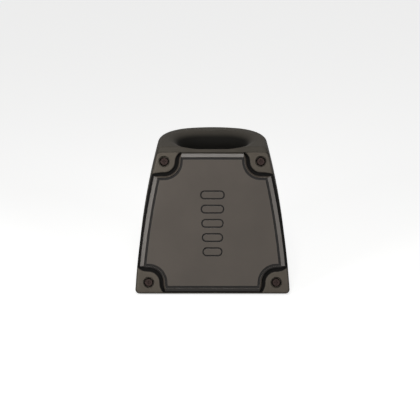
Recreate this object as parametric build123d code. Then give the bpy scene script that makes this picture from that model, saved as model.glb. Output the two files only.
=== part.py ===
from build123d import *
import os
from math import atan2, cos, radians, sin, sqrt, tan

# Charging stand for a hair clipper, in millimetres and degrees.
# X points right, Y to the rear and Z up. The origin is the middle of the footprint, on the resting surface.
# The front leans back by front_lean. Its own frame has u to the right, v up the slope and w out of the face.

# ---- Body ----
base_width = 95.9            # across the sides at the bottom
top_width = 67.2             # across the sides at the rim
base_depth = 78.8            # front edge to rear wall at the bottom
rim_height = 87.2            # rim above the surface that the stand rests on
side_bulge = 2.35            # each side bows out this far from a straight line
rear_setback = 2.0           # the rear wall leans in by this much up to the rim
rear_bulge = 0.5
front_lean = 20.0            # front face from the vertical
rear_corner_radius = 25.2
rear_crown_radius = 60.0
rim_rounding = 4.0
heel_rounding = 2.5
front_rounding = 2.0
wall = 2.4
rim_thickness = 3.6
heel_land = 1.1              # flat left on the bottom edge inside the heel rounding

# ---- Mouth and charging well ----
well_width = 40.0
well_length = 25.5
well_corner_radius = 12.0
well_setback = 3.1           # from the front edge of the rim to the straight wall of the well
mouth_rounding = 8.0
collar_wall = 3.6
collar_depth = 18.0          # the housing forms the upper well down to here
well_depth = 36.0            # rim to floor
well_wall = 2.0
well_floor = 2.4
well_wing_thickness = 2.0
well_boss_radius = 3.0
well_boss_spacing = 14.0     # front boss to rear boss
well_boss_overlap = 0.4      # boss into the collar

# ---- Front cover and plate ----
cover_drop = 3.4             # rim to the cover's top edge, down the slope
cover_gap = 0.15
cover_corner_radius = 4.0
cover_side_overrun = 0.2     # outline runs past the sides, which the body then trims
cover_sheet = 1.6
cover_relief = 2.4           # ears above the sheet
ledge_height = 5.1           # step under the plate's top edge, on the housing
ledge_width = 38.0
ear_radius = 6.8             # round each cover screw
upper_ear_reach = 10.0       # screw axis to where the ear meets the cover's top edge
upper_ear_drop = 8.0         # screw axis to where it meets the side
lower_ear_reach = 10.6
lower_ear_drop = 9.7
ear_rounding = 0.8
plate_thickness = 1.4
plate_side_margin = 1.7
plate_bottom_margin = 2.2
plate_top_gap = 0.6
plate_channel = 2.3          # between an ear and the plate
channel_end = 1.2            # the same where it runs out at the edges
pad_inset = 1.6              # raised pad under the plate, in from the plate's edge
rail_gap = 0.6               # plate's bottom edge to the rail under it
bevel_width = 2.3
bottom_bevel_width = 1.9
bevel_drop = 1.0
corner_bevel_width = 0.9     # round the ears
groove_width = 1.5
groove_depth = 0.7
groove_offset = 0.1          # from the inner edge of the bevel
window_low = 17.0
window_high = 57.0
window_side_margin = 10.0
window_corner_radius = 4.0
rib_width = 1.6
rib_height = 2.0

# ---- Engraved ovals ----
oval_count = 5
oval_first_height = 62.0     # centre of the top one, up the slope
oval_pitch = 8.8
oval_widest = 15.4
oval_narrowest = 12.5
oval_height = 5.6
oval_corner_radius = 2.7
oval_line_width = 0.9
oval_line_depth = 0.7

# ---- Cover screws, in from the cover's corners ----
upper_screw_in = 4.5
upper_screw_down = 5.6
lower_screw_in = 8.45
lower_screw_up = 7.75
recess_diameter = 6.5
recess_depth = 2.8
recess_chamfer = 0.4
cover_screw_diameter = 2.6
cover_screw_length = 5.5
cover_head_diameter = 5.0
cover_head_height = 1.3
cover_boss_radius = 3.0

# ---- Other screws ----
small_screw_diameter = 2.2
small_screw_length = 6.0
small_head_diameter = 4.2
small_head_height = 1.4
base_screw_diameter = 3.0
base_screw_length = 12.0
base_head_diameter = 5.4
base_head_height = 1.5
base_head_recess = 0.2       # head below the underside
ballast_screw_diameter = 3.0
ballast_screw_length = 7.0
ballast_head_diameter = 9.0
ballast_head_height = 1.8
thread_clearance = 0.05      # screw to its pilot hole, on the radius
shank_clearance = 0.2        # screw to a through hole, on the radius
tip_clearance = 0.8          # screw tip to the end of its pilot hole
drive_width = 0.7
drive_reach = 0.5            # share of the head's width
drive_depth = 0.6            # share of the head's height
head_rounding = 0.45         # share of the head's height

# ---- Contacts ----
pin_spacing = 10.0
pin_tip_diameter = 2.4
pin_protrusion = 2.0
pin_dome = 0.9               # dome radius as a share of the tip's radius
pin_travel = 1.2
pin_flange_diameter = 4.0
pin_flange_thickness = 1.0
pin_tail_diameter = 1.6
pin_tail_length = 3.0
pin_guide_clearance = 0.1
pin_rest_gap = 0.05
block_width = 24.0
block_length = 11.0
block_height = 10.0
block_floor = 1.6
block_corner_radius = 1.5
block_tab_radius = 3.0
block_tab_thickness = 2.0
block_tab_length = 7.0
terminal_thickness = 0.4
terminal_stem_diameter = 1.2
terminal_stem_length = 4.0   # below the contact block
terminal_clearance = 0.1
spring_wire = 0.36
spring_outer_diameter = 3.6
spring_turns = 7
spring_end_gap = 0.02

# ---- Base, ballast and feet ----
base_thickness = 3.0
base_clearance = 0.3
foot_height = 1.0            # rubber below the body
foot_pocket = 1.0
foot_diameter = 10.0
foot_clearance = 0.1
foot_rounding = 0.4
front_foot_inset = 19.6      # centre in from the side of the footprint
front_foot_setback = 19.0    # centre behind the front edge of the footprint
rear_foot_inset = 8.5        # centre in from the arc of the rear corner
rear_foot_angle = 92.0       # round the rear corner, from the side
column_radius = 4.0
column_height = 17.0
column_inset = 5.5           # column axis in from the inner face of the wall
column_web = 2.0
front_column_setback = 22.0  # from the front edge of the footprint
rear_column_angle = 60.0     # round the rear corner, from the side
ballast_width = 60.0
ballast_length = 24.0
ballast_thickness = 7.0
ballast_corner_radius = 2.0
ballast_chamfer = 0.5
ballast_gap = 2.5            # behind the inside of the front wall
ballast_boss_spread = 44.0
ballast_boss_radius = 3.0
ballast_boss_clearance = 0.3
label_width = 34.0
label_length = 14.0
label_depth = 0.3
label_corner_radius = 1.0

# ---- Circuit board ----
board_width = 46.0
board_length = 28.0
board_thickness = 1.6
board_height = 13.0          # underside above the body's bottom
board_corner_radius = 2.0
board_rear_gap = 8.0         # rear edge to the inside of the rear wall
post_radius = 2.6
post_inset = 4.0
jack_width = 9.0
jack_length = 13.0
jack_height = 11.0
jack_rounding = 1.2
jack_axis_height = 6.5       # above the board
jack_wall_gap = 0.3
jack_nose_diameter = 8.4
jack_nose_clearance = 0.2
jack_nose_recess = 0.5       # nose face below the outer wall
jack_bore_diameter = 5.7
jack_bore_depth = 9.5
jack_pin_diameter = 2.0
jack_pin_recess = 0.6        # pin tip behind the nose face
jack_pin_chamfer = 0.3
jack_pin_root = 1.5          # pin held in the jack beyond the bore
jack_root_diameter = 1.6
capacitor_diameter = 8.0
capacitor_height = 11.5
capacitor_rounding = 0.6
chip_width = 5.0
chip_length = 4.0
chip_height = 1.5
resistor_length = 2.0
resistor_width = 1.25
resistor_height = 0.6
resistor_count = 4
resistor_pitch = 2.4
connector_width = 7.0
connector_length = 5.0
connector_height = 6.0
connector_chamfer = 0.4
lead_pitch = 2.5
lead_diameter = 1.3
lead_shift = 4.5             # the connector lies this far in front of the pins
lead_straight = 0.3          # share of the drop at each end before the lead slants
lead_bend = 0.45             # bend's share of a straight run

big = 300.0                  # larger than the whole stand
touch = 0.01                 # closer than this counts as on a plane

# ---- Derived frames and places ----
body_bottom = foot_height
body_top = rim_height
lean = radians(front_lean)
lost_to_rounding = front_rounding / tan((radians(90) - lean) / 2) - front_rounding
front_edge_y = -base_depth / 2 - lost_to_rounding
front = Plane(
    origin=(0, front_edge_y, body_bottom),
    x_dir=(1, 0, 0),
    z_dir=(0, -cos(lean), sin(lean)),
)
cover_stack = cover_sheet + cover_relief
cover_height = (body_top - body_bottom) / cos(lean) - cover_drop
front_inner = -(cover_stack + wall)
heel_wall = heel_rounding + heel_land
rim_front_y = front_edge_y + (body_top - body_bottom) * tan(lean)
well_y = rim_front_y + well_setback + well_length / 2
collar_bottom = body_top - collar_depth
floor_top = body_top - well_depth
floor_bottom = floor_top - well_floor
base_top = body_bottom + base_thickness
board_bottom = body_bottom + board_height
board_top = board_bottom + board_thickness
recess_seat = -recess_depth
base_seat = body_bottom + base_head_height + base_head_recess


def half_width(z):
    """Half the width at height z: a straight taper plus a parabolic bulge."""
    t = (z - body_bottom) / (body_top - body_bottom)
    return base_width / 2 + (top_width - base_width) / 2 * t + 4 * side_bulge * t * (1 - t)


def rear_y(z):
    """Rear wall at height z, on the middle plane."""
    t = (z - body_bottom) / (body_top - body_bottom)
    return base_depth / 2 - rear_setback * t + 4 * rear_bulge * t * (1 - t)


def front_half_width(v):
    """Half the width at v up the sloping front."""
    return half_width(body_bottom + v * cos(lean))


def rear_corner_center(z):
    """Centre of the right rear corner arc, tangent to the side and to the crown arc."""
    crown_y = rear_y(z) - rear_crown_radius
    center_x = half_width(z) - rear_corner_radius
    return center_x, crown_y + sqrt((rear_crown_radius - rear_corner_radius) ** 2 - center_x ** 2)


def plan_face(z, inset=0.0):
    """Section at height z: two straight sides, two rear corner arcs and a shallow crown arc, all set in."""
    corner = rear_corner_radius - inset
    crown = rear_crown_radius - inset
    center_x, center_y = rear_corner_center(z)
    half = half_width(z) - inset
    rear = rear_y(z) - inset
    meet = atan2(center_y - (rear - crown), center_x)
    meet_x, meet_y = crown * cos(meet), rear - crown + crown * sin(meet)
    mid_x, mid_y = center_x + corner * cos(meet / 2), center_y + corner * sin(meet / 2)
    ahead = front_edge_y - 2 * wall
    outline = [
        Line((half, ahead), (half, center_y)),
        ThreePointArc((half, center_y), (mid_x, mid_y), (meet_x, meet_y)),
        ThreePointArc((meet_x, meet_y), (0, rear), (-meet_x, meet_y)),
        ThreePointArc((-meet_x, meet_y), (-mid_x, mid_y), (-half, center_y)),
        Line((-half, center_y), (-half, ahead)),
        Line((-half, ahead), (half, ahead)),
    ]
    return Plane.XY.offset(z) * make_face(outline)


def body_block(low, high, inset=0.0, spans=4):
    """Loft through evenly spaced sections between two heights."""
    return loft([plan_face(low + (high - low) * i / spans, inset) for i in range(spans + 1)])


def behind_front(w):
    """Everything behind the front plane set back to w."""
    return front.offset(w) * Box(big, big, big, align=(Align.CENTER, Align.CENTER, Align.MAX))


def front_prism(sketch, low, high):
    """Sketch in u and v, extruded from w = low to w = high."""
    return extrude(front.offset(low) * sketch, high - low)


def upright_prism(sketch, low, high):
    """Sketch in x and y, extruded from z = low to z = high."""
    return extrude(Plane.XY.offset(low) * sketch, high - low)


def rod(x, y, low, high, radius):
    """Upright cylinder."""
    return upright_prism(Pos(x, y) * Circle(radius), low, high)


def along_jack(diameter, low, high):
    """Cylinder on the jack's axis from y = low to y = high."""
    return extrude(jack_plane.offset(low) * Circle(diameter / 2), high - low)


def screw(diameter, length, head_diameter, head_height):
    """Pan head screw that points down, its seat at the origin, with a cross recess in the head."""
    head = Cylinder(head_diameter / 2, head_height, align=(Align.CENTER, Align.CENTER, Align.MIN))
    head = fillet(head.edges().group_by(Axis.Z)[-1], head_height * head_rounding)
    shank = Cylinder(diameter / 2, length, align=(Align.CENTER, Align.CENTER, Align.MAX))
    shank = chamfer(shank.edges().group_by(Axis.Z)[0], diameter * 0.2)
    slot = Box(
        head_diameter * drive_reach, drive_width, head_height * drive_depth,
        align=(Align.CENTER, Align.CENTER, Align.MAX),
    )
    drive = Pos(0, 0, head_height) * (slot + Rot(0, 0, 90) * slot)
    return head + shank - drive


# ---- Places that several pieces share ----
def mirrored(points):
    """Each point and its mirror image across the middle plane."""
    return [(side * x, y) for x, y in points for side in (-1, 1)]


def round_rear_corner(inset, angle):
    """Point set in from the right rear corner's arc, at an angle from the side."""
    x, y = rear_corner_center(base_top)
    swing = rear_corner_radius - inset
    return x + swing * cos(radians(angle)), y + swing * sin(radians(angle))


upper_screws_at = mirrored([
    (front_half_width(cover_height) - upper_screw_in, cover_height - upper_screw_down),
])
lower_screws_at = mirrored([(front_half_width(0) - lower_screw_in, lower_screw_up)])
cover_screws_at = upper_screws_at + lower_screws_at
boss_x = well_width / 2 + collar_wall + well_boss_radius - well_boss_overlap
half_boss_spacing = well_boss_spacing / 2
well_screws_at = mirrored([(boss_x, well_y - half_boss_spacing), (boss_x, well_y + half_boss_spacing)])
front_columns_at = mirrored([
    (half_width(base_top) - wall - column_inset, -base_depth / 2 + front_column_setback),
])
rear_columns_at = mirrored([round_rear_corner(wall + column_inset, rear_column_angle)])
columns_at = front_columns_at + rear_columns_at
rear_foot_x, rear_foot_y = round_rear_corner(rear_foot_inset, rear_foot_angle)
feet_at = {
    "foot_front_left": (front_foot_inset - base_width / 2, front_foot_setback - base_depth / 2),
    "foot_front_right": (base_width / 2 - front_foot_inset, front_foot_setback - base_depth / 2),
    "foot_rear_left": (-rear_foot_x, rear_foot_y),
    "foot_rear_right": (rear_foot_x, rear_foot_y),
}
front_wall_y = front_edge_y + base_thickness * tan(lean) - front_inner / cos(lean)
ballast_y = front_wall_y + ballast_gap + ballast_length / 2
jack_axis_z = board_top + jack_axis_height
rear_inner_y = rear_y(jack_axis_z) - wall
nose_face_y = rear_y(jack_axis_z) - jack_nose_recess
bore_end_y = nose_face_y - jack_bore_depth
jack_plane = Plane(origin=(0, 0, jack_axis_z), x_dir=(-1, 0, 0), z_dir=(0, 1, 0))
board_y = rear_inner_y - board_rear_gap - board_length / 2
posts_at = mirrored([
    (board_width / 2 - post_inset, board_y - board_length / 2 + post_inset),
    (board_width / 2 - post_inset, board_y + board_length / 2 - post_inset),
])
block_top = floor_bottom
block_bottom = block_top - block_height
terminal_top = block_bottom + block_floor + terminal_thickness
flange_top = block_top - pin_rest_gap
block_screw_x = block_width / 2 + block_tab_length / 2
block_screws_at = mirrored([(block_screw_x, well_y)])
pins_at = {"left": -pin_spacing / 2, "right": pin_spacing / 2}
ballast_bosses_at = mirrored([(ballast_boss_spread / 2, ballast_y)])
block_tab_top = block_bottom + block_tab_thickness
connector_y = well_y - lead_shift
lead_top = block_bottom - terminal_stem_length
lead_bottom = board_top + connector_height


def curved_edges(solid):
    """Every edge that isn't straight."""
    return [edge for edge in solid.edges() if edge.geom_type != GeomType.LINE]


def body_solid():
    """Outer shape of the whole body, with its rim, heel and front edges rounded."""
    solid = body_block(body_bottom, body_top) & behind_front(0)
    rim = [edge for edge in curved_edges(solid) if edge.bounding_box().min.Z > body_top - touch]
    solid = fillet(rim, rim_rounding)
    heel = [edge for edge in curved_edges(solid) if edge.bounding_box().max.Z < body_bottom + touch]
    solid = fillet(heel, heel_rounding)
    face = solid.faces().sort_by(lambda f: front.to_local_coords(f.center()).Z)[-1]
    return fillet(face.edges(), front_rounding)


def side_arc(low, high, inset, side):
    """Side of a front outline between two heights v, set in from the body's side."""
    middle = (low + high) / 2
    points = [(side * (front_half_width(v) - inset), v) for v in (low, middle, high)]
    return ThreePointArc(*points)


def tapered_face(low, high, inset):
    """Front outline between two heights v, with both sides set in."""
    right = side_arc(low, high, inset, 1)
    left = side_arc(low, high, inset, -1)
    return make_face([right, Line(right @ 1, left @ 1), left, Line(left @ 0, right @ 0)])


def cover_face(gap=0.0):
    """Cover outline with rounded upper corners. It runs past the sides and the bottom."""
    face = tapered_face(-2 * heel_rounding, cover_height + gap, -cover_side_overrun - gap)
    upper = face.vertices().group_by(Axis.Y)[-1]
    return fillet(upper, cover_corner_radius + gap)


def ear_face(screw_at, edge_v, reach, drop, extra, end):
    """A right hand corner: an arc round the screw, grown by extra, that flares out to both edges."""
    u, v = screw_at
    way = 1 if edge_v > v else -1
    radius = ear_radius + extra
    slant = radius * sqrt(0.5)
    edge_end = (u - reach - end, edge_v)
    side_v = v - way * (drop + end)
    side_end = (front_half_width(side_v), side_v)
    edge_flare = TangentArc((u - radius, v), edge_end, tangent=(0, way))
    arc = ThreePointArc((u - radius, v), (u - slant, v - way * slant), (u, v - way * radius))
    side_flare = TangentArc((u, v - way * radius), side_end, tangent=(1, 0))
    far = v + way * big
    beyond = Polyline(edge_end, (edge_end[0], far), (big, far), (big, side_v), side_end)
    return make_face([edge_flare, arc, side_flare, *beyond.edges()])


def ear_faces(extra=0.0, end=0.0):
    """The four corners round the screws, grown by extra and, where they meet the edges, by end."""
    right = [
        ear_face(upper_screws_at[1], cover_height, upper_ear_reach, upper_ear_drop, extra, end),
        ear_face(lower_screws_at[1], 0, lower_ear_reach, lower_ear_drop, extra, end),
    ]
    return right + [mirror(face, about=Plane.YZ) for face in right]


def plate_face(inset=0.0, low_inset=0.0, corner_inset=0.0):
    """Plate outline: the tapered front set in, less the corners round the ears."""
    low = plate_bottom_margin + low_inset
    high = cover_height - plate_top_gap - inset
    face = tapered_face(low, high, plate_side_margin + inset)
    for corner in ear_faces(plate_channel + corner_inset, channel_end + corner_inset):
        face = face - corner
    return face


def window_face():
    """Opening in the front wall behind the cover."""
    low, high = window_low, window_high
    corners = [
        (front_half_width(low) - window_side_margin, low),
        (front_half_width(high) - window_side_margin, high),
        (-front_half_width(high) + window_side_margin, high),
        (-front_half_width(low) + window_side_margin, low),
    ]
    face = make_face(Polyline(*corners, close=True))
    return fillet(face.vertices(), window_corner_radius)


def ledge_block(gap=0.0):
    """Step on the housing that carries the plate's top edge."""
    low = cover_height - ledge_height - gap
    high = cover_height + 2 * wall
    sketch = Pos(0, (low + high) / 2) * Rectangle(ledge_width + 2 * gap, high - low)
    return front_prism(sketch, -cover_stack - wall, -plate_thickness)


def well_face(extra=0.0):
    """Plan of the well, grown by extra."""
    outline = RectangleRounded(well_width + 2 * extra, well_length + 2 * extra, well_corner_radius + extra)
    return Pos(0, well_y) * outline


def mouth_void():
    """The upper well, its rounded mouth and the space above the rim."""
    low = collar_bottom - wall
    slab = upright_prism(Pos(0, well_y) * Rectangle(big, big), low, body_top)
    slab = slab - upright_prism(well_face(), low, body_top)
    lip = [e for e in slab.edges().group_by(Axis.Z)[-1] if e.length < big / 2]
    slab = fillet(lip, mouth_rounding)
    return upright_prism(Pos(0, well_y) * Rectangle(big, big), low, body_top + wall) - slab


def cover_boss(u, v, clearance=0.0):
    """Boss behind the front wall that takes a cover screw."""
    end = recess_seat - cover_screw_length - tip_clearance
    return front_prism(Pos(u, v) * Circle(cover_boss_radius + clearance), end - clearance, -cover_stack)


def column(x, y, heading):
    """Screw column for the base plate, with a web towards the wall."""
    reach = 2 * column_inset + wall
    web = Pos(reach / 2, 0, base_top + column_height / 2) * Box(reach, column_web, column_height)
    return rod(x, y, base_top, base_top + column_height, column_radius) + Pos(x, y) * Rot(0, 0, heading) * web


def make_housing(body):
    cavity = body_block(base_top, body_top - rim_thickness, wall)
    cavity += body_block(body_bottom - base_thickness, base_top, heel_wall, spans=1)
    cavity = cavity & behind_front(front_inner)
    shell = body - cavity
    inside = upright_prism(well_face(collar_wall), collar_bottom, body_top - rim_thickness)
    for x, y in well_screws_at:
        inside += rod(x, y, collar_bottom, body_top - rim_thickness, well_boss_radius)
    for x, y in front_columns_at:
        inside += column(x, y, 0 if x > 0 else 180)
    for x, y in rear_columns_at:
        inside += column(x, y, rear_column_angle if x > 0 else 180 - rear_column_angle)
    for u, v in cover_screws_at:
        inside += cover_boss(u, v)
    shell += inside & body
    shell -= front_prism(cover_face(cover_gap), -cover_stack, 2 * wall) - ledge_block()
    shell -= mouth_void()
    shell -= front_prism(window_face(), front_inner - wall, -cover_stack + wall)
    for u, v in cover_screws_at:
        depth = recess_seat - cover_screw_length - tip_clearance / 2
        shell -= front_prism(Pos(u, v) * Circle(cover_screw_diameter / 2 + thread_clearance), depth, 0)
    for x, y in well_screws_at:
        high = collar_bottom - well_wing_thickness + small_screw_length + tip_clearance
        shell -= rod(x, y, collar_bottom - wall, high, small_screw_diameter / 2 + thread_clearance)
    for x, y in columns_at:
        high = base_seat + base_screw_length + tip_clearance
        shell -= rod(x, y, base_top - wall, high, base_screw_diameter / 2 + thread_clearance)
    nose_hole = jack_nose_diameter + 2 * jack_nose_clearance
    return shell - along_jack(nose_hole, rear_inner_y - wall, rear_inner_y + 3 * wall)


def make_cover(body):
    outline = front_prism(cover_face(), -cover_stack, 2 * wall)
    cover = (body & outline) & behind_front(-cover_relief)
    pad = offset(plate_face(), -pad_inset, kind=Kind.INTERSECTION)
    cover += front_prism(pad, -cover_relief, -plate_thickness)
    ears = body & outline
    for corner in ear_faces():
        tool = front_prism(corner, -cover_relief - cover_sheet / 2, 0)
        curves = [edge for edge in curved_edges(tool) if abs(front_distance(edge)) < touch]
        cover += ears & fillet(curves, ear_rounding)
    rail_top = plate_bottom_margin - rail_gap
    rail = Rectangle(base_width, rail_top + heel_rounding, align=(Align.CENTER, Align.MAX))
    cover += ears & front_prism(Pos(0, rail_top) * rail, -cover_relief - cover_sheet / 2, 0)
    window = window_face()
    rib = offset(window, -cover_gap) - offset(window, -cover_gap - rib_width)
    cover += front_prism(rib, -cover_stack - rib_height, -cover_stack)
    cover -= ledge_block(cover_gap)
    for u, v in cover_screws_at:
        hole = Circle(cover_screw_diameter / 2 + shank_clearance)
        recess = front_prism(Pos(u, v) * Circle(recess_diameter / 2), recess_seat, 0)
        rim = Circle(recess_diameter / 2 + recess_chamfer)
        recess += loft([
            front.offset(-recess_chamfer) * Pos(u, v) * Circle(recess_diameter / 2),
            front * Pos(u, v) * rim,
        ])
        cover -= recess
        cover -= front_prism(Pos(u, v) * hole, -2 * cover_stack, 0)
    return cover


def front_distance(shape):
    """How far a shape's centre lies out of the front plane."""
    return front.to_local_coords(shape.center()).Z


def make_plate():
    face = plate_face()
    field = plate_face(bevel_width, bottom_bevel_width, corner_bevel_width)
    plate = front_prism(face, -plate_thickness, -bevel_drop)
    plate += loft([front.offset(-bevel_drop) * face, front * field], ruled=True)
    groove = offset(field, -groove_offset, kind=Kind.INTERSECTION)
    groove -= offset(field, -groove_offset - groove_width, kind=Kind.INTERSECTION)
    plate -= front_prism(groove, -groove_depth, wall)
    for i in range(oval_count):
        width = oval_widest + (oval_narrowest - oval_widest) * i / (oval_count - 1)
        oval = RectangleRounded(width, oval_height, oval_corner_radius)
        line = oval - offset(oval, -oval_line_width)
        place = Pos(0, oval_first_height - i * oval_pitch)
        plate -= front_prism(place * line, -oval_line_depth, wall)
    return plate


def make_cover_screws():
    one = screw(cover_screw_diameter, cover_screw_length, cover_head_diameter, cover_head_height)
    return [front * Pos(u, v, recess_seat) * one for u, v in cover_screws_at]


def make_well():
    well = upright_prism(well_face(well_wall), floor_bottom, collar_bottom)
    wing_width = 2 * (boss_x + well_boss_radius)
    wing_length = well_boss_spacing + 2 * well_boss_radius
    wing = Pos(0, well_y) * RectangleRounded(wing_width, wing_length, well_boss_radius)
    well += upright_prism(wing, collar_bottom - well_wing_thickness, collar_bottom)
    for x, y in block_screws_at:
        well += rod(x, y, block_tab_top, floor_bottom + well_floor / 2, well_boss_radius)
    well -= upright_prism(well_face(), floor_top, collar_bottom)
    for x, y in well_screws_at:
        well -= rod(x, y, floor_top, collar_bottom, small_screw_diameter / 2 + shank_clearance)
    for x, y in block_screws_at:
        pilot = small_screw_diameter / 2 + thread_clearance
        high = block_bottom + small_screw_length + tip_clearance
        well -= rod(x, y, block_bottom, high, pilot)
    for x in pins_at.values():
        hole = pin_tip_diameter / 2 + pin_guide_clearance
        well -= rod(x, well_y, floor_bottom - well_floor, floor_top + well_floor, hole)
    return well


def make_well_screws():
    low = collar_bottom - well_wing_thickness
    one = screw(small_screw_diameter, small_screw_length, small_head_diameter, small_head_height)
    return [Pos(x, y, low) * Rot(180, 0, 0) * one for x, y in well_screws_at]


def make_contact_block():
    body = Pos(0, well_y) * RectangleRounded(block_width, block_length, block_corner_radius)
    block = upright_prism(body, block_bottom, block_top)
    tabs = RectangleRounded(2 * block_screw_x + block_tab_length, block_length, block_tab_radius)
    block += upright_prism(Pos(0, well_y) * tabs, block_bottom, block_tab_top)
    for x in pins_at.values():
        bore = pin_flange_diameter / 2 + pin_guide_clearance
        block -= rod(x, well_y, block_bottom + block_floor, block_top, bore)
        slot = terminal_stem_diameter / 2 + terminal_clearance
        block -= rod(x, well_y, block_bottom - wall, block_top, slot)
    for x, y in block_screws_at:
        block -= rod(x, y, block_bottom - wall, block_top, small_screw_diameter / 2 + shank_clearance)
        block -= rod(x, y, block_tab_top, block_top, well_boss_radius + shank_clearance)
    return block


def make_block_screws():
    one = screw(small_screw_diameter, small_screw_length, small_head_diameter, small_head_height)
    return [Pos(x, y, block_bottom) * Rot(180, 0, 0) * one for x, y in block_screws_at]


def make_charge_pin(x):
    """Domed contact pin with a flange that stops it under the well's floor and a tail inside the spring."""
    tip_radius = pin_tip_diameter / 2
    tip = rod(x, well_y, flange_top, floor_top + pin_protrusion, tip_radius)
    tip = fillet(tip.edges().group_by(Axis.Z)[-1], tip_radius * pin_dome)
    flange_bottom = flange_top - pin_flange_thickness
    flange = rod(x, well_y, flange_bottom, flange_top, pin_flange_diameter / 2)
    tail = rod(x, well_y, flange_bottom - pin_tail_length, flange_bottom, pin_tail_diameter / 2)
    return tip + flange + tail


def make_pin_spring(x):
    """Open coil between the terminal and the pin's flange."""
    low = terminal_top + spring_end_gap + spring_wire / 2
    high = flange_top - pin_flange_thickness - spring_end_gap - spring_wire / 2
    radius = (spring_outer_diameter - spring_wire) / 2
    path = Helix((high - low) / spring_turns, high - low, radius)
    start = Plane(origin=path @ 0, z_dir=path % 0)
    return Pos(x, well_y, low) * sweep(start * Circle(spring_wire / 2), path=path)


def make_terminal(x):
    """Disc under the spring with a stem down through the contact block."""
    disc = rod(x, well_y, terminal_top - terminal_thickness, terminal_top, pin_flange_diameter / 2)
    return disc + rod(x, well_y, lead_top, terminal_top, terminal_stem_diameter / 2)


def make_lead(x_high, x_low):
    """Insulated lead from a terminal stem to the connector: three runs joined by tangent arcs."""
    drop = lead_top - lead_bottom
    points = [
        (x_high, well_y, lead_top),
        (x_high, well_y, lead_top - lead_straight * drop),
        (x_low, connector_y, lead_bottom + lead_straight * drop),
        (x_low, connector_y, lead_bottom),
    ]
    slant = Vector(*points[2]) - Vector(*points[1])
    turn = slant.get_angle(Vector(0, 0, -1))
    radius = lead_bend * lead_straight * drop / tan(radians(turn / 2))
    path = FilletPolyline(*points, radius=radius)
    return sweep(Plane(origin=points[0], z_dir=(0, 0, -1)) * Circle(lead_diameter / 2), path=path)


def make_base():
    base = body_block(body_bottom, base_top, heel_wall + base_clearance, spans=1)
    base &= behind_front(front_inner - base_clearance)
    for x, y in posts_at:
        base += rod(x, y, base_top, board_bottom, post_radius)
    for x, y in ballast_bosses_at:
        height = ballast_thickness - ballast_boss_clearance
        base += rod(x, y, base_top, base_top + height, ballast_boss_radius)
    for u, v in lower_screws_at:
        base -= cover_boss(u, v, base_clearance)
    for x, y in columns_at:
        base -= rod(x, y, body_bottom, base_top, base_screw_diameter / 2 + shank_clearance)
        base -= rod(x, y, body_bottom, base_seat, base_head_diameter / 2 + base_clearance)
    for x, y in feet_at.values():
        base -= rod(x, y, body_bottom, body_bottom + foot_pocket, foot_diameter / 2 + foot_clearance)
    for x, y in posts_at:
        low = board_top - small_screw_length - tip_clearance
        base -= rod(x, y, low, board_bottom, small_screw_diameter / 2 + thread_clearance)
    for x, y in ballast_bosses_at:
        low = base_top + ballast_thickness - ballast_screw_length - tip_clearance / 2
        high = base_top + ballast_thickness
        base -= rod(x, y, low, high, ballast_screw_diameter / 2 + thread_clearance)
    label = RectangleRounded(label_width, label_length, label_corner_radius)
    return base - upright_prism(label, body_bottom, body_bottom + label_depth)


def make_base_screws():
    one = screw(base_screw_diameter, base_screw_length, base_head_diameter, base_head_height)
    return [Pos(x, y, base_seat) * Rot(180, 0, 0) * one for x, y in columns_at]


def make_foot(x, y):
    foot = rod(x, y, 0, body_bottom + foot_pocket, foot_diameter / 2)
    return fillet(foot.edges().group_by(Axis.Z)[0], foot_rounding)


def make_ballast():
    plate = Pos(0, ballast_y) * RectangleRounded(ballast_width, ballast_length, ballast_corner_radius)
    ballast = upright_prism(plate, base_top, base_top + ballast_thickness)
    ballast = chamfer(ballast.edges().group_by(Axis.Z)[-1], ballast_chamfer)
    for x, y in ballast_bosses_at:
        hole = ballast_boss_radius + ballast_boss_clearance
        ballast -= rod(x, y, base_top, base_top + ballast_thickness, hole)
    return ballast


def make_ballast_screws():
    one = screw(ballast_screw_diameter, ballast_screw_length, ballast_head_diameter, ballast_head_height)
    return [Pos(x, y, base_top + ballast_thickness) * one for x, y in ballast_bosses_at]


def make_board():
    outline = Pos(0, board_y) * RectangleRounded(board_width, board_length, board_corner_radius)
    board = upright_prism(outline, board_bottom, board_top)
    for x, y in posts_at:
        board -= rod(x, y, board_bottom, board_top, small_screw_diameter / 2 + shank_clearance)
    return board


def make_board_screws():
    one = screw(small_screw_diameter, small_screw_length, small_head_diameter, small_head_height)
    return [Pos(x, y, board_top) * one for x, y in posts_at]


def make_jack():
    """Inlet jack on the board, its nose through the rear wall."""
    rear_face = rear_inner_y - jack_wall_gap
    center = Pos(0, rear_face - jack_length / 2, board_top + jack_height / 2)
    jack = center * Box(jack_width, jack_length, jack_height)
    jack = fillet(jack.edges().filter_by(Axis.Y).group_by(Axis.Z)[-1], jack_rounding)
    jack += along_jack(jack_nose_diameter, rear_face - wall, nose_face_y)
    jack -= along_jack(jack_bore_diameter, bore_end_y, nose_face_y)
    return jack - along_jack(jack_root_diameter, bore_end_y - jack_pin_root, bore_end_y)


def make_jack_pin():
    pin = along_jack(jack_pin_diameter, bore_end_y, nose_face_y - jack_pin_recess)
    pin = chamfer(pin.edges().group_by(Axis.Y)[-1], jack_pin_chamfer)
    return pin + along_jack(jack_root_diameter, bore_end_y - jack_pin_root, bore_end_y)


def make_capacitor():
    can = rod(-board_width / 3, board_y, board_top, board_top + capacitor_height, capacitor_diameter / 2)
    return fillet(can.edges().group_by(Axis.Z)[-1], capacitor_rounding)


def make_chip():
    place = Pos(board_width / 4, board_y, board_top + chip_height / 2)
    return place * Box(chip_width, chip_length, chip_height)


def make_resistors():
    first = board_y - resistor_pitch * (resistor_count - 1) / 2
    chip_side = board_width / 4 + chip_width
    z = board_top + resistor_height / 2
    one = Box(resistor_length, resistor_width, resistor_height)
    return [Pos(chip_side, first + i * resistor_pitch, z) * one for i in range(resistor_count)]


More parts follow.
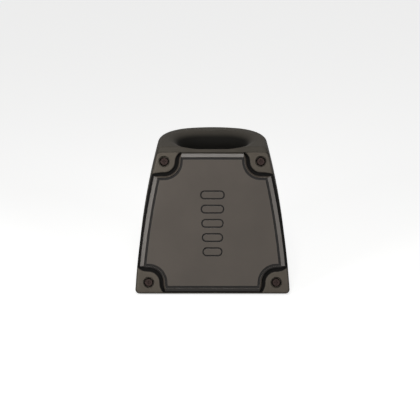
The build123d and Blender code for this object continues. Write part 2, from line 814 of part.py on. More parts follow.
def make_connector():
    place = Pos(0, connector_y, board_top + connector_height / 2)
    connector = place * Box(connector_width, connector_length, connector_height)
    return chamfer(connector.edges().group_by(Axis.Z)[-1], connector_chamfer)


def solids_of(piece):
    """One shape or a list of shapes as a single compound of its solids."""
    pieces = piece if isinstance(piece, list) else [piece]
    found = [solid for shape in pieces for solid in shape.solids()]
    return found[0] if len(found) == 1 else Compound(children=found)


def main():
    body = body_solid()
    parts = {
        "housing": make_housing(body),
        "front_cover": make_cover(body),
        "front_plate": make_plate(),
        "cover_screws": make_cover_screws(),
        "charging_well": make_well(),
        "well_screws": make_well_screws(),
        "contact_block": make_contact_block(),
        "block_screws": make_block_screws(),
        "base_plate": make_base(),
        "base_screws": make_base_screws(),
        "ballast_plate": make_ballast(),
        "ballast_screws": make_ballast_screws(),
        "circuit_board": make_board(),
        "board_screws": make_board_screws(),
        "dc_jack": make_jack(),
        "jack_center_pin": make_jack_pin(),
        "filter_capacitor": make_capacitor(),
        "charge_controller_chip": make_chip(),
        "board_resistors": make_resistors(),
        "lead_connector": make_connector(),
        "lead_negative": make_lead(pins_at["left"], -lead_pitch / 2),
        "lead_positive": make_lead(pins_at["right"], lead_pitch / 2),
    }
    for side, x in pins_at.items():
        parts["charge_pin_" + side] = make_charge_pin(x)
        parts["pin_spring_" + side] = make_pin_spring(x)
        parts["contact_terminal_" + side] = make_terminal(x)
    for name, (x, y) in feet_at.items():
        parts[name] = make_foot(x, y)
    os.makedirs("parts", exist_ok=True)
    for name, piece in parts.items():
        export_step(solids_of(piece), "parts/" + name + ".step")


main()
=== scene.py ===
# %% [markdown]
# # A charging stand for a hair clipper
# The stand is a small tapered pedestal of dark moulded plastic. A clipper stands upright in the cup in
# its top and charges through two sprung pins. The solid model already holds every piece at its real size,
# so this script brings it in as a fixed frame, gives each piece the finish that the real one has, paints
# shade into the coating of the outside where shade falls, and sets up a camera and studio light.

import math

import bpy
import numpy as np
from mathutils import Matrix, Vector


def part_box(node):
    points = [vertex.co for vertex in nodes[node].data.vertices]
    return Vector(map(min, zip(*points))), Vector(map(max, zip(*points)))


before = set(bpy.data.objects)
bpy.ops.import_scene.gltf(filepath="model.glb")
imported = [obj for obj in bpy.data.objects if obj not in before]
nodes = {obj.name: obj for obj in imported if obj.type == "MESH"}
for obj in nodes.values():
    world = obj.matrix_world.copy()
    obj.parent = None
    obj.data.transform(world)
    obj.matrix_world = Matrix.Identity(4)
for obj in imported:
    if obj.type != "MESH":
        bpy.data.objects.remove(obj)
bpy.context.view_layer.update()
MM = 0.001

# %% [markdown]
# ## Small helpers for materials
# Colours are written as sRGB hex values, the way a paint chart or a screen gives them, and one function
# turns them into the linear values that Blender works in. One more function adds a shader node, sets its
# inputs and links it, so that each material below reads as a short list of what it is made of. Patterns
# are placed by Object coordinates, which are metres here, so a noise scale is one over the size of its
# features in metres.

# %% Helpers for materials
def srgb(code):
    """Linear RGBA from a hex colour: c / 12.92 below 0.04045, else ((c + 0.055) / 1.055) ** 2.4."""
    parts = [int(code[i : i + 2], 16) / 255 for i in (1, 3, 5)]
    return [c / 12.92 if c <= 0.04045 else ((c + 0.055) / 1.055) ** 2.4 for c in parts] + [1.0]


def add(tree, kind, settings=None, **inputs):
    """Adds a node. Settings are its properties. Inputs are values or sockets, by name or by number as _0."""
    node = tree.nodes.new(kind)
    for name, value in (settings or {}).items():
        setattr(node, name, value)
    for name, value in inputs.items():
        socket = node.inputs[int(name[1:]) if name[0] == "_" else name.replace("_", " ")]
        if isinstance(value, bpy.types.NodeSocket):
            tree.links.new(value, socket)
        else:
            socket.default_value = value
    return node


def start_material(name):
    """New material. Returns it with its tree, its Principled shader and its Object coordinates."""
    material = bpy.data.materials.new(name)
    material.use_nodes = True
    tree = material.node_tree
    place = tree.nodes.new("ShaderNodeTexCoord").outputs["Object"]
    return material, tree, tree.nodes["Principled BSDF"], place


def per_mm(size_mm):
    """Noise scale for features about size_mm across."""
    return 1.0 / (size_mm * MM)


print("middle grey on a screen is", round(srgb("#808080")[0], 3), "in linear light")


# %% [markdown]
# ## Where the front face and the rim are
# The sloping front has painted shade: the channels between its raised faces are drawn darker than the
# coated faces. So some materials need to know how deep a point lies below the front face. That is the
# point's distance along the face's normal, and the face itself is found from the plate's mesh: it is the
# furthest that any vertex reaches. The rim, the middle of the cup and the four cover screws are found from
# the meshes too. The stand is the same left and right, so the screws are folded onto its right hand side,
# where an upper and a lower one are left.

# %% Levels read from the meshes
FRONT_LEAN = math.radians(20)  # how far the front leans back
front_normal = Vector((0, -math.cos(FRONT_LEAN), math.sin(FRONT_LEAN)))


def vertex_places(name):
    """All vertices of a node as an array of rows x, y, z in metres."""
    vertices = nodes[name].data.vertices
    places = np.empty(3 * len(vertices))
    vertices.foreach_get("co", places)
    return places.reshape(-1, 3)


face_level = float((vertex_places("front_plate") @ np.array(front_normal)).max())
rim_level = float(vertex_places("housing")[:, 2].max())
pin_places = vertex_places("charge_pin_left")
cup_y = float(pin_places[:, 1].min() + pin_places[:, 1].max()) / 2
print("front face at", round(face_level / MM, 2), "mm along its normal, rim at", round(rim_level / MM, 2),
      "mm, middle of the cup at y =", round(cup_y / MM, 2), "mm")

screw_places = vertex_places("cover_screws")
screw_places[:, 0] = np.abs(screw_places[:, 0])
middle_height = screw_places[:, 2].mean()
screw_centers = [Vector(screw_places[(screw_places[:, 2] > middle_height) == upper].mean(axis=0))
                 for upper in (True, False)]
print("right hand cover screws at", [[round(v / MM, 2) for v in center] for center in screw_centers])

# %% [markdown]
# ## Masks
# A mask is a number between zero and one for each point of a surface. A material uses it to change from
# one finish to another, or to lay painted shade on it. Each of these is worked out from where the point is,
# or from where its surface faces, so it needs no painted picture and stays sharp at any distance.

# %% Masks by direction
SMOOTH = {"interpolation_type": "SMOOTHSTEP"}


def turned_from_front(tree, near_degrees, far_degrees):
    """Zero up to near_degrees away from the way that the front faces, and one from far_degrees on."""
    normal = tree.nodes.new("ShaderNodeNewGeometry").outputs["Normal"]
    facing = add(tree, "ShaderNodeVectorMath", {"operation": "DOT_PRODUCT"}, _0=normal, _1=front_normal)
    near, far = (math.cos(math.radians(degrees)) for degrees in (near_degrees, far_degrees))
    return add(tree, "ShaderNodeMapRange", SMOOTH, Value=facing.outputs["Value"], From_Min=near,
               From_Max=far).outputs[0]


print("masks ease in and out by", SMOOTH["interpolation_type"].lower())


# %% Masks by place
def off_the_screws(tree, place, radius_mm):
    """Zero within radius_mm of the axis of a cover screw and one elsewhere.

    The distance to an axis is the length of the cross product of its direction and the way to the point."""
    folded = add(tree, "ShaderNodeVectorMath", {"operation": "ABSOLUTE"}, _0=place)
    sides = add(tree, "ShaderNodeVectorMath", {"operation": "MULTIPLY"}, _0=folded.outputs[0], _1=(1, 0, 0))
    rest = add(tree, "ShaderNodeVectorMath", {"operation": "MULTIPLY"}, _0=place, _1=(0, 1, 1))
    right_hand = add(tree, "ShaderNodeVectorMath", {"operation": "ADD"}, _0=sides.outputs[0],
                     _1=rest.outputs[0])
    away = []
    for center in screw_centers:
        offset = add(tree, "ShaderNodeVectorMath", {"operation": "SUBTRACT"}, _0=right_hand.outputs[0],
                     _1=center)
        across = add(tree, "ShaderNodeVectorMath", {"operation": "CROSS_PRODUCT"}, _0=offset.outputs[0],
                     _1=front_normal)
        length = add(tree, "ShaderNodeVectorMath", {"operation": "LENGTH"}, _0=across.outputs[0])
        away.append(length.outputs["Value"])
    nearest = add(tree, "ShaderNodeMath", {"operation": "MINIMUM"}, _0=away[0], _1=away[1])
    return add(tree, "ShaderNodeMath", {"operation": "GREATER_THAN"}, _0=nearest.outputs[0],
               _1=radius_mm * MM).outputs[0]


def below_front(tree, place, shallow_mm, deep_mm):
    """Zero down to shallow_mm below the front face, one from deep_mm, and a smooth step between."""
    along = add(tree, "ShaderNodeVectorMath", {"operation": "DOT_PRODUCT"}, _0=place, _1=front_normal)
    return add(tree, "ShaderNodeMapRange", SMOOTH, Value=along.outputs["Value"],
               From_Min=face_level - shallow_mm * MM, From_Max=face_level - deep_mm * MM).outputs[0]


MOUTH_SHIFT_MM = 3.5  # the cup's mouth flares to the rear, and hardly to the front


def down_the_cup(tree, place, half_width_mm, half_length_mm, start_mm, end_mm):
    """Rises smoothly from zero at start_mm below the rim to one at end_mm, inside an ellipse."""
    centred = add(tree, "ShaderNodeVectorMath", {"operation": "SUBTRACT"}, _0=place,
                  _1=(0, cup_y + MOUTH_SHIFT_MM * MM, 0))
    shares = add(tree, "ShaderNodeVectorMath", {"operation": "MULTIPLY"}, _0=centred.outputs[0],
                 _1=(1 / (half_width_mm * MM), 1 / (half_length_mm * MM), 0))
    reach = add(tree, "ShaderNodeVectorMath", {"operation": "LENGTH"}, _0=shares.outputs[0])
    inside = add(tree, "ShaderNodeMath", {"operation": "LESS_THAN"}, _0=reach.outputs["Value"], _1=1.0)
    axes = add(tree, "ShaderNodeSeparateXYZ", _0=place)
    depth = add(tree, "ShaderNodeMapRange", SMOOTH, Value=axes.outputs["Z"],
                From_Min=rim_level - start_mm * MM, From_Max=rim_level - end_mm * MM)
    return add(tree, "ShaderNodeMath", {"operation": "MULTIPLY"}, _0=inside.outputs[0],
               _1=depth.outputs[0]).outputs[0]


print("the mask of the cup lies", MOUTH_SHIFT_MM, "mm behind the middle of the pins")

# %% [markdown]
# ## Moulded plastic
# The housing, cover, cup and base are injection moulded ABS. The mould is spark eroded or bead blasted,
# which leaves a fine even grain on the plastic and breaks up its highlights. Three things make it look
# moulded and used: the grain in the bump, faint broad clouds in colour and gloss where it has been
# handled, and edges that are rounded by a few tenths of a millimetre, a little lighter and rubbed
# smoother. The Bevel node finds those edges. It turns the normal near a sharp edge, which gives the soft
# line of light that a real moulded edge has, and the angle between its normal and the surface's own says
# how near an edge is. A second, darker colour can be laid on by one of the masks above, as painted shade
# in the cup, the channels, the engraved lines and other places where shade falls.
#
# The real grain is about a tenth of a millimetre across, which is too fine to show from a metre away. On
# nearly all pieces it is drawn a few times as coarse, so that it can be made out close up.

# %% Moulded plastic
CLOUD_MM = 22
THIN_CLOUD, THICK_CLOUD = 0.35, 0.65  # the range that most of a noise lies in
CLOUDED = 0.03  # what a cloud adds to the roughness or takes from it
RUBBED = -0.05  # what rubbing adds to the roughness of an edge
EDGE_BEGINS, EDGE_FULL = 0.995, 0.80  # cosine of the angle by which the Bevel node turns the normal


def moulded_plastic(name, colour, edge_colour, roughness, grain_mm, grain_height_mm=0.010, edge_mm=0.25,
                    specular=0.5, cloud=0.10, bare=None):
    """Grained thermoplastic, clouded by a share of its colour, lighter and smoother along its edges.

    bare is a mask function, a colour and a roughness: where the mask is one, the surface takes that colour
    as painted shade, and that roughness."""
    material, tree, shader, place = start_material(name)
    clouds = add(tree, "ShaderNodeTexNoise", Vector=place, Scale=per_mm(CLOUD_MM), Detail=3.0,
                 Roughness=0.55)
    grain = add(tree, "ShaderNodeTexNoise", Vector=place, Scale=per_mm(grain_mm), Detail=2.0, Roughness=0.6)
    rounded = add(tree, "ShaderNodeBevel", {"samples": 6}, Radius=edge_mm * MM)
    normal = tree.nodes.new("ShaderNodeNewGeometry").outputs["Normal"]
    along = add(tree, "ShaderNodeVectorMath", {"operation": "DOT_PRODUCT"}, _0=rounded.outputs[0],
                _1=normal)
    edge = add(tree, "ShaderNodeMapRange", Value=along.outputs["Value"], From_Min=EDGE_BEGINS,
               From_Max=EDGE_FULL)
    shade = add(tree, "ShaderNodeMapRange", Value=clouds.outputs[0], From_Min=THIN_CLOUD,
                From_Max=THICK_CLOUD, To_Min=1.0 - cloud, To_Max=1.0 + cloud)
    body = add(tree, "ShaderNodeVectorMath", {"operation": "SCALE"}, _0=srgb(colour)[:3],
               Scale=shade.outputs[0])
    worn = add(tree, "ShaderNodeMix", {"data_type": "RGBA"}, _0=edge.outputs[0], _6=body.outputs[0],
               _7=srgb(edge_colour))
    gloss = add(tree, "ShaderNodeMapRange", Value=clouds.outputs[0], From_Min=THIN_CLOUD,
                From_Max=THICK_CLOUD, To_Min=roughness - CLOUDED, To_Max=roughness + CLOUDED)
    rubbed = add(tree, "ShaderNodeMath", {"operation": "MULTIPLY_ADD"}, _0=edge.outputs[0], _1=RUBBED,
                 _2=gloss.outputs[0])
    final_colour, final_roughness = worn.outputs[2], rubbed.outputs[0]
    # Where the mask is one, the colour is a painted shade colour, darker than the coating.
    if bare:
        mask, shade_colour, shade_roughness = bare
        where = mask(tree, place)
        final_colour = add(tree, "ShaderNodeMix", {"data_type": "RGBA"}, _0=where, _6=final_colour,
                           _7=srgb(shade_colour)).outputs[2]
        final_roughness = add(tree, "ShaderNodeMix", _0=where, _2=final_roughness,
                              _3=shade_roughness).outputs[0]
    bump = add(tree, "ShaderNodeBump", Height=grain.outputs[0], Strength=0.4, Distance=grain_height_mm * MM,
               Normal=rounded.outputs[0])
    tree.links.new(final_colour, shader.inputs["Base Color"])
    tree.links.new(final_roughness, shader.inputs["Roughness"])
    tree.links.new(bump.outputs[0], shader.inputs["Normal"])
    shader.inputs["IOR"].default_value = 1.5
    shader.inputs["Specular IOR Level"].default_value = specular
    return material


print("moulded plastic clouds are", CLOUD_MM, "mm across")

# %% [markdown]
# ### The finishes of the outside
# The housing has a soft charcoal coating. Painted shade darkens it as it goes down into the cup, towards
# a matt black, and somewhat round the corners to its sides. The cover keeps its coating colour on its
# raised corners, in its screw recesses and on its lower rail. Painted shade darkens it in the channels
# round the plate, and partly where its edges turn away. The plate is coated a little glossier, so its
# slanted border catches the lamps. Painted shade darkens the floors of its engraved lines to matt black,
# and what faces down too.

# %% Where shade is painted on the outside
# The shares below are painted shade: how much a side of the housing and a turned edge of the cover are
# darkened, and from where a face of the plate turns down far enough to be darkened.
SIDE_BEGINS, SIDE_FULL = 0.35, 0.85  # share of the surface normal that points sideways
SIDE_SHADE = 0.40  # share of the coating that is missing on a side
TURNED_EDGE_SHADE = 0.60  # and on a turned edge
LEVEL_WITH_FRONT = 0.99  # cosine of the angle to the front
DOWN_BEGINS, DOWN_FULL = 0.15, -0.20  # share of the surface normal that points up


def cup_shade_mask(tree, place):
    """Painted shade: darker down into the cup, and somewhat round the corners to the sides."""
    cup = down_the_cup(tree, place, half_width_mm=29.0, half_length_mm=17.6, start_mm=-0.5, end_mm=3.4)
    normal = tree.nodes.new("ShaderNodeNewGeometry").outputs["Normal"]
    axes = add(tree, "ShaderNodeSeparateXYZ", _0=normal)
    sideways = add(tree, "ShaderNodeMath", {"operation": "ABSOLUTE"}, _0=axes.outputs["X"])
    sides = add(tree, "ShaderNodeMapRange", SMOOTH, Value=sideways.outputs[0], From_Min=SIDE_BEGINS,
                From_Max=SIDE_FULL, To_Max=SIDE_SHADE)
    return add(tree, "ShaderNodeMath", {"operation": "MAXIMUM"}, _0=cup, _1=sides.outputs[0]).outputs[0]


def channel_shade_mask(tree, place):
    """Painted shade in the channels and, partly, on turned edges; none on the raised faces or in the screw
    recesses.
    """
    deep = below_front(tree, place, shallow_mm=0.6, deep_mm=1.6)
    away = off_the_screws(tree, place, radius_mm=3.7)
    channels = add(tree, "ShaderNodeMath", {"operation": "MULTIPLY"}, _0=deep, _1=away)
    turned = turned_from_front(tree, near_degrees=20, far_degrees=60)
    turned_edge_shade = add(tree, "ShaderNodeMath", {"operation": "MULTIPLY"}, _0=turned, _1=TURNED_EDGE_SHADE)
    return add(tree, "ShaderNodeMath", {"operation": "MAXIMUM"}, _0=channels.outputs[0],
               _1=turned_edge_shade.outputs[0]).outputs[0]


def engraving_shade_mask(tree, place):
    """Painted shade: one on the floors of the engraved lines and on whatever faces down, and zero elsewhere.
    """
    deep = below_front(tree, place, shallow_mm=0.3, deep_mm=0.5)
    normal = tree.nodes.new("ShaderNodeNewGeometry").outputs["True Normal"]
    facing = add(tree, "ShaderNodeVectorMath", {"operation": "DOT_PRODUCT"}, _0=normal, _1=front_normal)
    level = add(tree, "ShaderNodeMath", {"operation": "GREATER_THAN"}, _0=facing.outputs["Value"],
                _1=LEVEL_WITH_FRONT)
    floors = add(tree, "ShaderNodeMath", {"operation": "MULTIPLY"}, _0=deep, _1=level.outputs[0])
    axes = add(tree, "ShaderNodeSeparateXYZ", _0=normal)
    down = add(tree, "ShaderNodeMapRange", SMOOTH, Value=axes.outputs["Z"], From_Min=DOWN_BEGINS,
               From_Max=DOWN_FULL)
    return add(tree, "ShaderNodeMath", {"operation": "MAXIMUM"}, _0=floors.outputs[0],
               _1=down.outputs[0]).outputs[0]


# The darkening down the cup, in the channels and in the engraved lines is painted shade.
print("the coating is bare down the cup, in the channels and in the engraved lines")

# %% The outside
# The second colour of each coating, laid on by the mask before it, is painted shade.
housing_coat = moulded_plastic("soft charcoal coating on ABS", "#49453F", "#504C46", 0.60, 0.35,
                               specular=0.03, bare=(cup_shade_mask, "#1C1B19", 0.70))
cover_coat = moulded_plastic("satin charcoal coating on ABS", "#544E46", "#5C564E", 0.42, 0.30,
                             specular=0.12, bare=(channel_shade_mask, "#191817", 0.85))
plate_coat = moulded_plastic("satin charcoal coating on a pressed plate", "#463F38", "#4F4840", 0.34, 0.25,
                             grain_height_mm=0.005, edge_mm=0.20, specular=0.46, cloud=0.04,
                             bare=(engraving_shade_mask, "#13100D", 0.80))
print("outside finishes:", [m.name for m in (housing_coat, cover_coat, plate_coat)])

# %% [markdown]
# ### Black pieces
# The lower cup, the block that carries the pins, the base and the inlet jack are bare matt black
# mouldings. The base has the coarser grain of a part that nobody looks at, and the jack is a glossier,
# harder nylon. The feet are rubber, which is rough and dusty, and the leads are soft PVC. Inside, the
# plug of the leads is ivory nylon and the charge controller is moulded in black epoxy.

# %% Black mouldings, rubber and leads
inner_abs = moulded_plastic("matt black ABS", "#1B1A19", "#262423", 0.60, 0.40, specular=0.25)
base_abs = moulded_plastic("coarse grained black ABS", "#242321", "#302E2C", 0.62, 0.70,
                           grain_height_mm=0.030, specular=0.25)
jack_nylon = moulded_plastic("black glass filled nylon", "#161616", "#232323", 0.42, 0.50,
                             grain_height_mm=0.012, specular=0.40)
foot_rubber = moulded_plastic("moulded black rubber", "#1C1C1C", "#2A2929", 0.78, 0.60,
                              grain_height_mm=0.020, edge_mm=0.35, specular=0.20, cloud=0.22)
black_pvc = moulded_plastic("soft black PVC", "#1A1A1A", "#242424", 0.45, 1.20, grain_height_mm=0.006,
                            edge_mm=0.10, specular=0.40)
red_pvc = moulded_plastic("soft red PVC", "#A31D16", "#B22A20", 0.45, 1.20, grain_height_mm=0.006,
                          edge_mm=0.10, specular=0.40)
ivory_nylon = moulded_plastic("ivory nylon", "#D8D0B8", "#E0DAC6", 0.48, 0.60, grain_height_mm=0.008,
                              edge_mm=0.15, specular=0.40, cloud=0.04)
epoxy_black = moulded_plastic("black epoxy", "#191A1B", "#222324", 0.58, 0.12, grain_height_mm=0.006,
                              edge_mm=0.08, specular=0.35)
print("black and inner finishes ready")

# %% [markdown]
# ## Metals
# Screws are steel with a thin finish, and the pins are gold plated so that they never tarnish. A metal
# has no diffuse colour, so its look is its reflection: fine marks break it up, and stains change its
# colour and gloss. Tool marks and plating grain are finer than a tenth of a millimetre, and are drawn
# coarser so that they show.

# %% Metals
STAIN_MM = 2.5
LEAST_STAIN, MOST_STAIN = 0.3, 0.7  # the range that most of the stains' noise lies in
CLEAN, STAINED = -0.05, 0.08  # what a clean and a stained place add to the roughness
METAL_EDGE_MM = 0.12


def finished_metal(name, colour, dull_colour, roughness, mark_mm, mark_height_mm=0.004):
    """Metal with fine marks, stained between two colours and two roughnesses, with rounded edges."""
    material, tree, shader, place = start_material(name)
    stains = add(tree, "ShaderNodeTexNoise", Vector=place, Scale=per_mm(STAIN_MM), Detail=3.0,
                 Roughness=0.6)
    marks = add(tree, "ShaderNodeTexNoise", Vector=place, Scale=per_mm(mark_mm), Detail=2.0, Roughness=0.7)
    rounded = add(tree, "ShaderNodeBevel", {"samples": 6}, Radius=METAL_EDGE_MM * MM)
    colour_mix = add(tree, "ShaderNodeMix", {"data_type": "RGBA"}, _0=stains.outputs[0], _6=srgb(colour),
                     _7=srgb(dull_colour))
    gloss = add(tree, "ShaderNodeMapRange", Value=stains.outputs[0], From_Min=LEAST_STAIN,
                From_Max=MOST_STAIN, To_Min=roughness + CLEAN, To_Max=roughness + STAINED)
    bump = add(tree, "ShaderNodeBump", Height=marks.outputs[0], Strength=0.3, Distance=mark_height_mm * MM,
               Normal=rounded.outputs[0])
    tree.links.new(colour_mix.outputs[2], shader.inputs["Base Color"])
    tree.links.new(gloss.outputs[0], shader.inputs["Roughness"])
    tree.links.new(bump.outputs[0], shader.inputs["Normal"])
    shader.inputs["Metallic"].default_value = 1.0
    return material


black_screw = finished_metal("black zinc plated steel", "#3B312E", "#312927", 0.42, 0.2)
bright_screw = finished_metal("zinc plated steel", "#B9BDC0", "#9EA2A4", 0.32, 0.2)
ballast_steel = finished_metal("dull plated mild steel", "#8B8C8C", "#6E6F6E", 0.48, 0.6, 0.012)
spring_steel = finished_metal("spring steel wire", "#A7A9AB", "#8C8E90", 0.30, 0.15)
gold_plate = finished_metal("gold plated brass", "#D9B45A", "#C49B45", 0.22, 0.15)
plain_brass = finished_metal("tinned brass", "#C9BFA4", "#B3A886", 0.35, 0.2)
nickel_plate = finished_metal("nickel plated brass", "#C3BEB2", "#ADA79A", 0.26, 0.15)
print("metals:", [m.name for m in (black_screw, bright_screw, ballast_steel, spring_steel, gold_plate,
                                   plain_brass, nickel_plate)])

# %% [markdown]
# ## The electronics
# The circuit board is glass fibre laminate under a green solder mask. Where copper lies under the mask it
# looks lighter and stands a little proud, so a brick pattern with thin dark joints stands in for pours of
# copper with gaps between them. The capacitor is an aluminium can in a dark blue sleeve that leaves its
# top bare, and the chip resistors are black glass on ceramic with tinned ends. Each is one material that
# changes by place.

# %% Circuit board
POUR_LENGTH_MM, POUR_WIDTH_MM, POUR_GAP_MM = 6.4, 2.9, 0.35
COPPER_MM = 0.035
SMEAR_MM = 5
SHINY, SMEARED = 0.25, 0.42  # roughness of the mask where it is clean and where flux was wiped over it


def solder_mask():
    """Two greens over laminate and copper, with the copper raised by its thickness."""
    material, tree, shader, place = start_material("green solder mask on laminate")
    pours = add(tree, "ShaderNodeTexBrick", {"offset": 0.37}, Vector=place, Color1=(1, 1, 1, 1),
                Color2=(1, 1, 1, 1), Mortar=(0, 0, 0, 1), Scale=1.0, Mortar_Size=POUR_GAP_MM * MM,
                Brick_Width=POUR_LENGTH_MM * MM, Row_Height=POUR_WIDTH_MM * MM)
    smears = add(tree, "ShaderNodeTexNoise", Vector=place, Scale=per_mm(SMEAR_MM), Detail=3.0)
    greens = add(tree, "ShaderNodeMix", {"data_type": "RGBA"}, _0=pours.outputs["Color"],
                 _6=srgb("#0F3B22"), _7=srgb("#1B6A3C"))
    gloss = add(tree, "ShaderNodeMapRange", Value=smears.outputs[0], To_Min=SHINY, To_Max=SMEARED)
    bump = add(tree, "ShaderNodeBump", Height=pours.outputs["Color"], Strength=0.6, Distance=COPPER_MM * MM)
    tree.links.new(greens.outputs[2], shader.inputs["Base Color"])
    tree.links.new(gloss.outputs[0], shader.inputs["Roughness"])
    tree.links.new(bump.outputs[0], shader.inputs["Normal"])
    return material


board_green = solder_mask()
print("board:", board_green.name)

# %% Sleeved metal
MARKED = 0.10  # the most that the marks add to the roughness
MARK_HEIGHT_MM = 0.006


def sleeve_and_metal(name, mask, sleeve_colour, metal_colour, sleeve_roughness, metal_roughness, mark_mm):
    """Plastic or glass where the mask is zero and bare metal where it is one, both finely marked."""
    material, tree, shader, place = start_material(name)
    where = mask(tree, place)
    marks = add(tree, "ShaderNodeTexNoise", Vector=place, Scale=per_mm(mark_mm), Detail=2.0, Roughness=0.6)
    colour = add(tree, "ShaderNodeMix", {"data_type": "RGBA"}, _0=where, _6=srgb(sleeve_colour),
                 _7=srgb(metal_colour))
    level = add(tree, "ShaderNodeMix", _0=where, _2=sleeve_roughness, _3=metal_roughness)
    gloss = add(tree, "ShaderNodeMath", {"operation": "MULTIPLY_ADD"}, _0=marks.outputs[0],
                _1=MARKED, _2=level.outputs[0])
    bump = add(tree, "ShaderNodeBump", Height=marks.outputs[0], Strength=0.3,
               Distance=MARK_HEIGHT_MM * MM)
    tree.links.new(colour.outputs[2], shader.inputs["Base Color"])
    tree.links.new(where, shader.inputs["Metallic"])
    tree.links.new(gloss.outputs[0], shader.inputs["Roughness"])
    tree.links.new(bump.outputs[0], shader.inputs["Normal"])
    return material


print("sleeved metal is marked", MARK_HEIGHT_MM, "mm deep")

# %% Capacitor and resistors
FACES_UP = 0.9  # cosine of the angle to the vertical


def can_top(tree, place):
    """One where the surface faces up."""
    normal = tree.nodes.new("ShaderNodeNewGeometry").outputs["True Normal"]
    up = add(tree, "ShaderNodeSeparateXYZ", _0=normal)
    return add(tree, "ShaderNodeMath", {"operation": "GREATER_THAN"}, _0=up.outputs["Z"],
               _1=FACES_UP).outputs[0]


resistor_low, resistor_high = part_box("board_resistors")
resistor_x = (resistor_low[0] + resistor_high[0]) / 2
BARE_FROM_MM = 0.65


def tinned_ends(tree, place):
    """One beyond BARE_FROM_MM to either side of the middle of the chips, and zero nearer to it."""
    axes = add(tree, "ShaderNodeSeparateXYZ", _0=place)
    along = add(tree, "ShaderNodeMath", {"operation": "SUBTRACT"}, _0=axes.outputs["X"], _1=resistor_x)
    away = add(tree, "ShaderNodeMath", {"operation": "ABSOLUTE"}, _0=along.outputs[0])
    return add(tree, "ShaderNodeMath", {"operation": "GREATER_THAN"}, _0=away.outputs[0],
               _1=BARE_FROM_MM * MM).outputs[0]


capacitor_can = sleeve_and_metal("sleeved aluminium can", can_top, "#1C2440", "#C9CCCE",
                                 sleeve_roughness=0.35, metal_roughness=0.30, mark_mm=0.3)
chip_resistor = sleeve_and_metal("black glass with tinned ends", tinned_ends, "#151515", "#D0D0CC",
                                 sleeve_roughness=0.30, metal_roughness=0.35, mark_mm=0.2)
print("middle of the resistors at x =", round(resistor_x / MM, 2), "mm")

# %% [markdown]
# ## Dressing the pieces
# Each piece keeps its own mesh and only gets a material in its slots. Both sides of a pair share one.

# %% Dress the nodes
dressed = set()


def dress(material, *names):
    """Gives each named node one material in all its slots, and notes the node as dressed."""
    for name in names:
        for slot in nodes[name].material_slots:
            slot.material = material
    dressed.update(names)


dress(housing_coat, "housing")
dress(cover_coat, "front_cover")
dress(plate_coat, "front_plate")
dress(inner_abs, "charging_well", "contact_block")
dress(base_abs, "base_plate")
dress(jack_nylon, "dc_jack")
dress(foot_rubber, "foot_front_left", "foot_front_right", "foot_rear_left", "foot_rear_right")
dress(black_screw, "cover_screws", "base_screws")
dress(bright_screw, "well_screws", "block_screws", "board_screws", "ballast_screws")
dress(ballast_steel, "ballast_plate")
dress(spring_steel, "pin_spring_left", "pin_spring_right")
dress(gold_plate, "charge_pin_left", "charge_pin_right")
dress(plain_brass, "contact_terminal_left", "contact_terminal_right")
dress(nickel_plate, "jack_center_pin")
dress(board_green, "circuit_board")
dress(capacitor_can, "filter_capacitor")
dress(epoxy_black, "charge_controller_chip")
dress(chip_resistor, "board_resistors")
dress(ivory_nylon, "lead_connector")
dress(black_pvc, "lead_negative")
dress(red_pvc, "lead_positive")
print("pieces dressed:", len(dressed), "left:", sorted(set(nodes) - dressed))

# %% [markdown]
# ## Camera
# The stand is seen from straight ahead and a little above, through a long lens from a metre away, so its
# sides run almost parallel.

# %% Camera
ELEVATION = math.radians(19.575)
DISTANCE = 1.0  # metres
LENS_MM, SENSOR_MM = 135.2, 36.0
aim = Vector((-0.00155, 0.0, 0.0426))
camera_data = bpy.data.cameras.new("camera")
camera_data.lens = LENS_MM
camera_data.sensor_width = SENSOR_MM
camera = bpy.data.objects.new("camera", camera_data)
bpy.context.scene.collection.objects.link(camera)
camera.location = aim + DISTANCE * Vector((0, -math.cos(ELEVATION), math.sin(ELEVATION)))
camera.rotation_euler = (aim - camera.location).to_track_quat("-Z", "Y").to_euler()
bpy.context.scene.camera = camera
print("camera at", [round(v, 3) for v in camera.location])

# %% [markdown]
# ## Floor and light
# The floor is plain and pale. To the camera, and to anything that mirrors it or looks at it through
# glass, it is lifted to white, and it still takes the soft shadow that the stand rests in. One soft box
# hangs in front of the stand and above it, one stands to the left and one to the right. Each is where the
# slanted border of the front plate mirrors it, so the border catches light all round while the face
# between stays dark. The first two are close, so their light falls off across the front, and the right
# one stands further away and is weaker there.

# %% Rays that see the background
def background_rays(tree):
    """One for camera, glossy and transmission rays, and zero for the rays that only carry light."""
    path = tree.nodes.new("ShaderNodeLightPath")
    seen = add(tree, "ShaderNodeMath", {"operation": "MAXIMUM"}, _0=path.outputs["Is Camera Ray"],
               _1=path.outputs["Is Glossy Ray"])
    return add(tree, "ShaderNodeMath", {"operation": "MAXIMUM"}, _0=seen.outputs[0],
               _1=path.outputs["Is Transmission Ray"]).outputs[0]


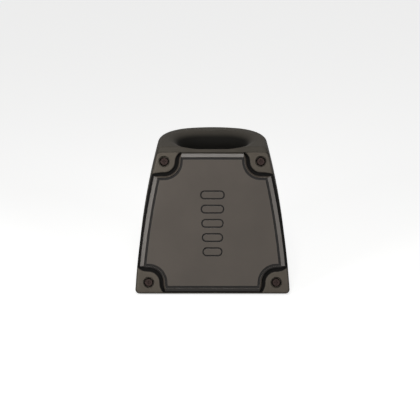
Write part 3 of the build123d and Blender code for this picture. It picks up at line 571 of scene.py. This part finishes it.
# %% Floor
HALF_FLOOR = 1.6  # metres
FLOOR_LIFT = 0.75  # how strongly the floor glows to the rays that see it
floor_corners = np.array([[-1, -1, 0], [1, -1, 0], [1, 1, 0], [-1, 1, 0]]) * HALF_FLOOR
floor_mesh = bpy.data.meshes.new("floor")
floor_mesh.from_pydata(floor_corners.tolist(), [], [(0, 1, 2, 3)])
floor = bpy.data.objects.new("floor", floor_mesh)
bpy.context.scene.collection.objects.link(floor)
pale_floor, tree, shader, _ = start_material("pale matt floor")
shader.inputs["Base Color"].default_value = srgb("#C6C6C4")
shader.inputs["Roughness"].default_value = 0.9
shader.inputs["Specular IOR Level"].default_value = 0.0
shader.inputs["Emission Color"].default_value = (1, 1, 1, 1)
lift = add(tree, "ShaderNodeMath", {"operation": "MULTIPLY"}, _0=background_rays(tree), _1=FLOOR_LIFT)
tree.links.new(lift.outputs[0], shader.inputs["Emission Strength"])
floor_mesh.materials.append(pale_floor)
print("floor:", 2 * HALF_FLOOR, "m square")

# %% Light
lamp_target = Vector((0, 0, 0.045))  # metres


def soft_box(name, azimuth, elevation, distance, size, power):
    """Square lamp aimed at the middle of the stand. Its azimuth is counted in degrees to the right of the
    camera and its elevation in degrees above the floor."""
    turn, rise = math.radians(azimuth), math.radians(elevation)
    data = bpy.data.lights.new(name, "AREA")
    data.shape = "SQUARE"
    data.size = size
    data.energy = power
    lamp = bpy.data.objects.new(name, data)
    bpy.context.scene.collection.objects.link(lamp)
    direction = Vector((math.sin(turn) * math.cos(rise), -math.cos(turn) * math.cos(rise), math.sin(rise)))
    lamp.location = lamp_target + distance * direction
    lamp.rotation_euler = (-direction).to_track_quat("-Z", "Y").to_euler()
    print(name, "lamp:", power, "W,", size, "m wide, at", [round(v, 2) for v in lamp.location])


soft_box("left", azimuth=-42, elevation=20, distance=0.36, size=0.12, power=0.52)
soft_box("right", azimuth=42, elevation=20, distance=1.40, size=0.40, power=4.2)
soft_box("top", azimuth=0, elevation=62, distance=0.40, size=0.13, power=0.52)

# %% Daylight
AMBIENT = 0.13  # how strongly the white surroundings light the stand
sky = bpy.data.worlds.new("studio")
bpy.context.scene.world = sky
sky.use_nodes = True
tree = sky.node_tree
strength = add(tree, "ShaderNodeMapRange", Value=background_rays(tree), To_Min=AMBIENT, To_Max=1.0)
tree.nodes["Background"].inputs["Color"].default_value = (1, 1, 1, 1)
tree.links.new(strength.outputs[0], tree.nodes["Background"].inputs["Strength"])
bpy.context.scene.view_settings.view_transform = "Standard"
print("ambient level:", AMBIENT)
